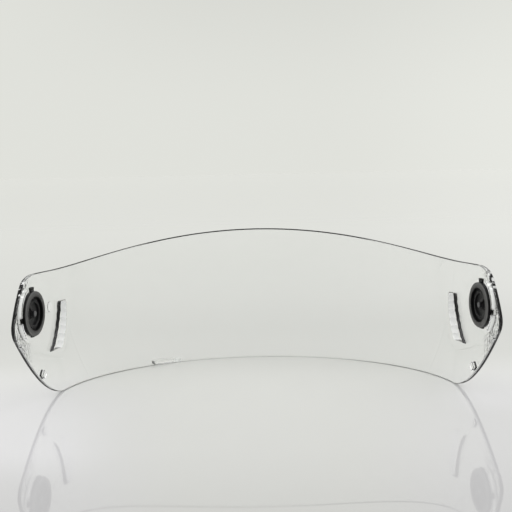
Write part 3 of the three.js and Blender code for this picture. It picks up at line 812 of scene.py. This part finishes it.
def clearPlastic(name):
    # clear moulding: a faint unevenness in the polish, painted shade greying the foot where it meets the
    # table, and cut edges partly painted with shade and with glowing light
    c, f = clearLook, plateForms
    material, g, place = startMaterial(name)
    x, y, z = g.parts(place)
    smear = g.noise(place, c["smearScale"], c["smearDetail"])
    # painted shade: the tint greys towards the bottom edge where the shell stands on the table
    tint = g.mix(g.ramp(z, *c["footRise"]), c["foot"], c["body"])
    # relief: the line where the optical zone begins, the step under the slot, and mould flow at the rear
    along, up, out, radius = g.plate(place)
    zoneStart = c["zoneAlong"] + up * c["zoneTurn"] + up * up * c["zoneBend"]
    zone = g.ramp(along - zoneStart, 0.0, c["stepWidth"])
    under = g.ramp(up - (c["underLevel"] + along * c["underTurn"]), 0.0, c["stepWidth"])
    under = under * g.ramp(along, *c["underRise"]) * (1.0 - g.ramp(along, *c["underFall"]))
    flow = g.noise(place, c["flowScale"], c["flowDetail"])
    rear = (1.0 - g.ramp(along, *c["rearFall"])) * g.ramp(radius, *c["ringRise"])
    height = zone * c["zoneStep"] + under * c["underStep"] + flow * rear * c["flowHeight"]
    relief = g.node("ShaderNodeBump", inputs={"Strength": 1.0, "Distance": 1.0, "Height": height})
    # small flow marks at the rear, drawn as flecks of painted shade and painted highlight, and the
    # faintly frosted gate mark on the left plate
    fade = c["speckLow"] + g.ramp(up, *c["speckUp"]) * (1.0 - c["speckLow"])
    where = rear * (1.0 - g.ramp(radius, *c["speckFall"])) * g.ramp(up * up, *c["speckGap"]) * fade
    shadeFlecks = g.ramp(flow, *c["speckRise"]) * where * c["speckShare"]
    lights = g.ramp(1.0 - flow, *c["speckRise"]) * where * c["speckShare"]
    ahead, above = along - f["gateForward"], up - (f["gateLevel"] - shell["pivotHeight"])
    fromGate = (ahead * ahead + above * above).root()
    inGate = 1.0 - g.ramp(fromGate, f["gateRadius"] - c["gateEdge"], f["gateRadius"])
    gate = inGate * (1.0 - g.ramp(x, *c["gateSide"])) * g.ramp(fromGate, 0.0, f["gateRadius"])
    gate = gate * c["gateFrost"]
    solid = g.node("ShaderNodeBsdfPrincipled", inputs={
        "Base Color": tint, "IOR": c["index"], "Transmission Weight": 1.0,
        "Roughness": smear * c["haze"], "Normal": relief})
    # painted shade, near black, and painted light, pale and glowing by its emission though it is no lamp
    for kind, colour, marks in (("dark", c["cutDark"], shadeFlecks), ("pale", c["cutPale"], gate + lights)):
        share = g.node("ShaderNodeAttribute", dict(attribute_name=kind), output=2) + marks
        cut = g.node("ShaderNodeBsdfPrincipled", inputs={
            "Base Color": colour, "Roughness": c["cutRough"] + smear * c["cutSmear"],
            "Specular IOR Level": c["cutShine"], "Emission Color": colour, "Emission Strength": c["cutGlow"]})
        solid = g.node("ShaderNodeMixShader", inputs=[share, solid, cut])
    through = g.node("ShaderNodeBsdfTransparent", inputs={"Color": c["shadow"]})
    shadowRay = g.node("ShaderNodeLightPath", output="Is Shadow Ray")
    g.finish(g.node("ShaderNodeMixShader", inputs=[shadowRay, solid, through]))
    return material


wear(body, clearPlastic("clear_polycarbonate"))

# Moulded black and grey plastics, and the disc's housing with a painted sheen on its ring face and
# painted shade below it
grainLook = dict(fineDetail=4.0, broadScale=0.06, broadDetail=3.0, fineRough=0.12, broadRough=0.1,
                 darkest=0.75, palest=1.3, depth=0.0001)
discLook = dict(inner=(0.052, 0.051, 0.049, 1), outer=(0.12, 0.12, 0.117, 1),
                deep=(0.004, 0.004, 0.0041, 1), faceDepth=0.0006, faceSoft=0.4,
                boreRise=(-0.0001, 0.0003), shine=0.2, rough=0.42, broadRough=0.12,
                grain=2600.0, bump=0.25)
plasticLooks = dict(
    black_nylon=dict(colour=(0.016, 0.016, 0.0155), rough=0.42, grain=2600.0, bump=0.25, shine=0.5),
    core_nylon=dict(colour=(0.008, 0.008, 0.0084), rough=0.46, grain=2600.0, bump=0.25, shine=0.22),
    slip_plastic=dict(colour=(0.15, 0.15, 0.145), rough=0.5, grain=1800.0, bump=0.15, shine=0.5),
)


def grainOn(g, place, look):
    # a fine and a broad unevenness, and the fine one's relief
    n = grainLook
    fine = g.noise(place, look["grain"], n["fineDetail"])
    broad = g.noise(place, look["grain"] * n["broadScale"], n["broadDetail"])
    relief = g.node("ShaderNodeBump", inputs={
        "Strength": look["bump"], "Distance": n["depth"], "Height": fine})
    return fine, broad, relief


def shades(colour, low, high):
    # a darker and a paler one of a colour
    return [[value * share for value in colour] + [1] for share in (low, high)]


def discPlastic(name):
    # the disc's moulding: its ring face has a painted sheen that grows paler towards the outer edge, and
    # all below the face and inside the bore gets painted shade, near black
    d, h = discLook, housing
    material, g, place = startMaterial(name)
    along, up, out, radius = g.plate(place)
    fine, broad, relief = grainOn(g, place, d)
    # painted sheen: the ring face runs from a dark grey at the bore to a paler grey at the outer edge
    ring = g.mix(g.ramp(radius, h["ringBore"], h["ringRadius"]), d["inner"], d["outer"])
    below = g.ramp(out, h["face"] + d["faceDepth"] * d["faceSoft"], h["face"] + d["faceDepth"])
    start, end = (h["ringBore"] + shift for shift in d["boreRise"])
    # painted shade: below the face and inside the bore, the side wall, groove and cup go near black
    tone = g.mix((1.0 - below) * g.ramp(radius, start, end), d["deep"], ring)
    rough = d["rough"] + (fine - 0.5) * grainLook["fineRough"] + (broad - 0.5) * d["broadRough"]
    g.finish(g.node("ShaderNodeBsdfPrincipled", inputs={
        "Base Color": tone, "Roughness": rough, "Specular IOR Level": d["shine"], "Normal": relief}))
    return material


def satinPlastic(name, look):
    # moulded plastic: a fine grain in the roughness and a faint relief
    n = grainLook
    material, g, place = startMaterial(name)
    fine, broad, relief = grainOn(g, place, look)
    tone = g.mix(broad, *shades(look["colour"], n["darkest"], n["palest"]))
    rough = look["rough"] + (fine - 0.5) * n["fineRough"] + (broad - 0.5) * n["broadRough"]
    g.finish(g.node("ShaderNodeBsdfPrincipled", inputs={
        "Base Color": tone, "Roughness": rough, "Specular IOR Level": look["shine"], "Normal": relief}))
    return material


steelLooks = dict(
    spring_steel=dict(colour=(0.46, 0.47, 0.48), rough=0.3),
    dark_pin_steel=dict(colour=(0.16, 0.16, 0.165), rough=0.36),
)
streakLook = dict(stretch=(1.0, 1.0, 14.0), scale=900.0, detail=5.0, rough=0.2, darkest=0.8, palest=1.15)


def stripSteel(name, look):
    # rolled or turned steel: long fine streaks in the roughness and the tone
    s = streakLook
    material, g, place = startMaterial(name)
    stretched = g.node("ShaderNodeMapping", inputs={"Vector": place, "Scale": s["stretch"]})
    streak = g.noise(stretched, s["scale"], s["detail"])
    g.finish(g.node("ShaderNodeBsdfPrincipled", inputs={
        "Base Color": g.mix(streak, *shades(look["colour"], s["darkest"], s["palest"])), "Metallic": 1.0,
        "Roughness": look["rough"] + (streak - 0.5) * s["rough"]}))
    return material


finishes = {name: satinPlastic(name, look) for name, look in plasticLooks.items()}
finishes.update((name, stripSteel(name, look)) for name, look in steelLooks.items())
ringFinish = discPlastic("disc_nylon")
for obj, slotName in discPieces:
    wear(obj, ringFinish if slotName == "black_nylon" else finishes[slotName])
for part in frame["record"]["subparts"]:  # the solids that the scene keeps
    if part["material_slot"] in ("slip_plastic", "spring_steel") or part["node"].endswith("outer_retainer"):
        wear(frame["nodes"][part["node"]], finishes[part["material_slot"]])
print("materials", sorted(material.name for material in bpy.data.materials))

# The table and the room. The table's tone, painted light and shade of the room, goes by reach /
# distance from where the photographer stood, each stop with its grey; a pair of numbers is where a
# soft rise starts and ends.
stageSetup = dict(
    floorHalf=9.0, floorDrop=0.00002, reach=0.278, stand=0.6246, tint=(0.996, 1.0, 0.965),
    tones=[(0.0, 223.6), (0.06, 225), (0.16, 225), (0.24, 221), (0.30, 215), (0.336, 213),
           (0.36, 215.5), (0.40, 219.5), (0.44, 222.5), (0.50, 222), (0.58, 218.5), (0.64, 214.5),
           (0.692, 210), (0.84, 200)],
    rightLift=0.2, rightAside=(0.04, 0.26), rightFar=(0.75, 1.1), sideLift=0.26, sideFar=(0.71, 0.63),
    sides=[(-1.0, (0.12, 0.215), (0.42, 0.48)), (1.0, (0.16, 0.215), (0.52, 0.58))],
    cool=(1, 0.992, 1.03, 1), coolRight=(0.08, 0.23), coolLeft=(-0.06, -0.2), coolFar=(0.68, 0.56),
    floorIndex=1.33, floorRough=0.015, cloudScale=7.0, cloudDetail=2.0, cloudLow=0.6, cloudGain=0.8,
    light=1.0, behind=(0.10, 0.10, 0.10, 1), behindRise=(-0.6, -0.15), backdrop=(0.748, 0.756, 0.712, 1),
    backdropRight=(0.796, 0.804, 0.759, 1), rightRise=(0.04, 0.26), rightFacing=(0.2, 0.6),
    shade=(0.89, 0.89, 0.89, 1), shadeRise=(0.04, 0.24), shadeAside=(-0.3, -0.03),
    overhead=(1.12, 1.12, 1.12, 1), overheadRise=(0.35, 0.7),
)


def linear(tone):
    # screen tone 0 to 255 to light: ((t + 0.055) / 1.055) to the power 2.4
    return ((tone / 255 + 0.055) / 1.055) ** 2.4


def makeFloor():
    # a flat sheet; its tone, its brighter sides and its cooler front, painted light and shade of the room,
    # go by where a point lies from the photographer: far off, and aside as a share of that
    s = stageSetup
    half = s["floorHalf"]
    x, y = np.meshgrid([-half, 0, half], [-half, 0, half])
    sheet = np.stack([x, y, 0 * x - s["floorDrop"]], axis=-1)
    obj = makeMesh("floor", sheet, gridFaces(3, 3, closeCols=False))
    material, g, place = startMaterial("floor")
    x, y, z = g.parts(place)
    far = y + s["stand"]
    aside = x / far
    stops = [(share, [linear(tone) * part for part in s["tint"]] + [1]) for share, tone in s["tones"]]
    tone = g.node("ShaderNodeValToRGB", dict(stops=stops), [s["reach"] / far])
    # painted light: patches to the right and to both sides mixed towards white
    lit = g.ramp(aside, *s["rightAside"]) * g.ramp(far, *s["rightFar"]) * s["rightLift"]
    for way, rise, front in s["sides"]:
        beside = g.ramp(aside * way, *rise) * g.ramp(far, *s["sideFar"]) * g.ramp(far, *front)
        lit = lit + beside * s["sideLift"]
    tone = g.mix(lit, tone, (1, 1, 1, 1))
    # painted light: a cooler tint towards the front on both sides
    cool = (g.ramp(aside, *s["coolRight"]) + g.ramp(aside, *s["coolLeft"])) * g.ramp(far, *s["coolFar"])
    tone = g.mix(cool, tone, s["cool"], "MULTIPLY")
    cloud = g.noise(place, s["cloudScale"], s["cloudDetail"])
    g.finish(g.node("ShaderNodeBsdfPrincipled", inputs={
        "Base Color": tone, "Roughness": s["floorRough"] * (s["cloudLow"] + cloud * s["cloudGain"]),
        "IOR": s["floorIndex"]}))
    wear(obj, material)


def makeWorld():
    # a pale room: dark behind the photographer, a little darker low over the table to one side, and
    # brightest overhead. Glossy and clear surfaces see it, and all others get a plain even light.
    s = stageSetup
    world = bpy.data.worlds.new("studio")
    bpy.context.scene.world = world
    g = Graph(world)
    x, y, z = g.parts(g.node("ShaderNodeTexCoord", output="Generated"))
    level = g.mix(g.ramp(y, *s["behindRise"]), s["behind"], s["backdrop"])
    level = g.mix(g.ramp(x, *s["rightRise"]) * g.ramp(y, *s["rightFacing"]), level, s["backdropRight"])
    shaded = g.ramp(z, *s["shadeRise"]) * g.ramp(x, *s["shadeAside"])
    level = g.mix(shaded, level, s["shade"], "MULTIPLY")
    room = g.mix(g.ramp(z, *s["overheadRise"]), level, s["overhead"])
    camera, glossy, transmission = (
        g.node("ShaderNodeLightPath", output="Is " + kind + " Ray")
        for kind in ("Camera", "Glossy", "Transmission"))
    seen = camera.math("MINIMUM", camera + glossy + transmission, 1.0)
    lamp = g.node("ShaderNodeBackground", inputs={"Color": (1, 1, 1, 1), "Strength": s["light"]})
    picture = g.node("ShaderNodeBackground", inputs={"Color": room, "Strength": 1.0})
    g.finish(g.node("ShaderNodeMixShader", inputs=[seen, lamp, picture]), "ShaderNodeOutputWorld")


makeFloor()
makeWorld()
print("table and room made")

# The camera, as the photograph was taken: focal length and shift in pixels of the frame
cameraSetup = dict(
    frameSize=512, focalPixels=1050.0, pitch=4.0, roll=1.204, shiftPixels=22.8,
    behindPivot=0.5664, height=0.1325, sideways=0.0055, yaw=0.494, sensor=36.0,
)


def makeCamera():
    # turned by its roll first, then its pitch, then its yaw
    c = cameraSetup
    camera = bpy.data.objects.new("camera", bpy.data.cameras.new("camera"))
    bpy.context.scene.collection.objects.link(camera)
    camera.location = (c["sideways"], pivotY - c["behindPivot"], c["height"])
    yaw = Matrix.Rotation(math.radians(c["yaw"]), 3, "Z")
    pitch = Matrix.Rotation(math.radians(90 - c["pitch"]), 3, "X")
    roll = Matrix.Rotation(-math.radians(c["roll"]), 3, "Z")
    camera.rotation_euler = (yaw @ (pitch @ roll)).to_euler()
    camera.data.sensor_width = c["sensor"]
    camera.data.lens = c["focalPixels"] / c["frameSize"] * c["sensor"]
    camera.data.shift_y = -c["shiftPixels"] / c["frameSize"]
    bpy.context.scene.camera = camera


makeCamera()
bpy.context.scene.view_settings.view_transform = "Standard"
print("camera placed")
